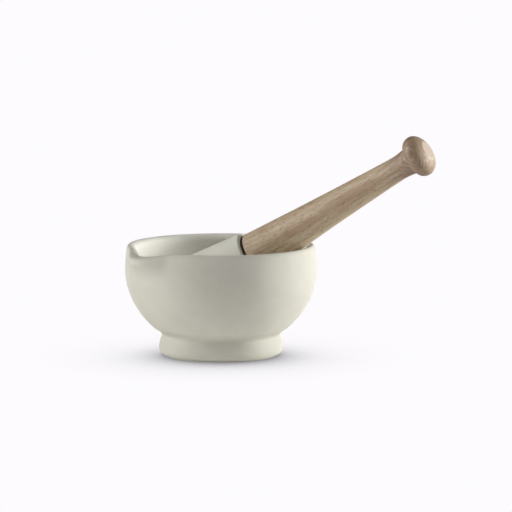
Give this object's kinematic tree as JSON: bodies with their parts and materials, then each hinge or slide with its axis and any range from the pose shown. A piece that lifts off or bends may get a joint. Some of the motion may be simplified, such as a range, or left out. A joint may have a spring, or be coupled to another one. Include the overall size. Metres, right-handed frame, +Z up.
{
  "type": "mortar and pestle",
  "caption": "Footed stoneware mortar with a pouring spout and rounded lip, and a ceramic-headed pestle with a turned wooden handle leaning in it.",
  "frame": {"origin": "centre of the mortar's flat base, on the surface it stands on", "axes": "+Z up along the mortar's axis; the pouring spout points towards -Y; the pestle leans out towards +X +Y"},
  "size_m": [0.2269, 0.1864, 0.1777],
  "materials": {
    "stoneware": "matt, unglazed, fired cream",
    "head_stoneware": "matt, unglazed, fired cream",
    "cement": "matt, cured dark brown adhesive",
    "beech": "sanded, oiled beech"
  },
  "bodies": {
    "mortar": {"mortar": "stoneware"},
    "pestle": {"pestle_head": "head_stoneware", "joint_cement": "cement", "pestle_handle": "beech"}
  },
  "joints": [
    {"name": "pestle_lift", "type": "slide", "parent": "mortar", "child": "pestle", "axis": [0, 0, 1], "range_m": [0, 0.09]}
  ]
}
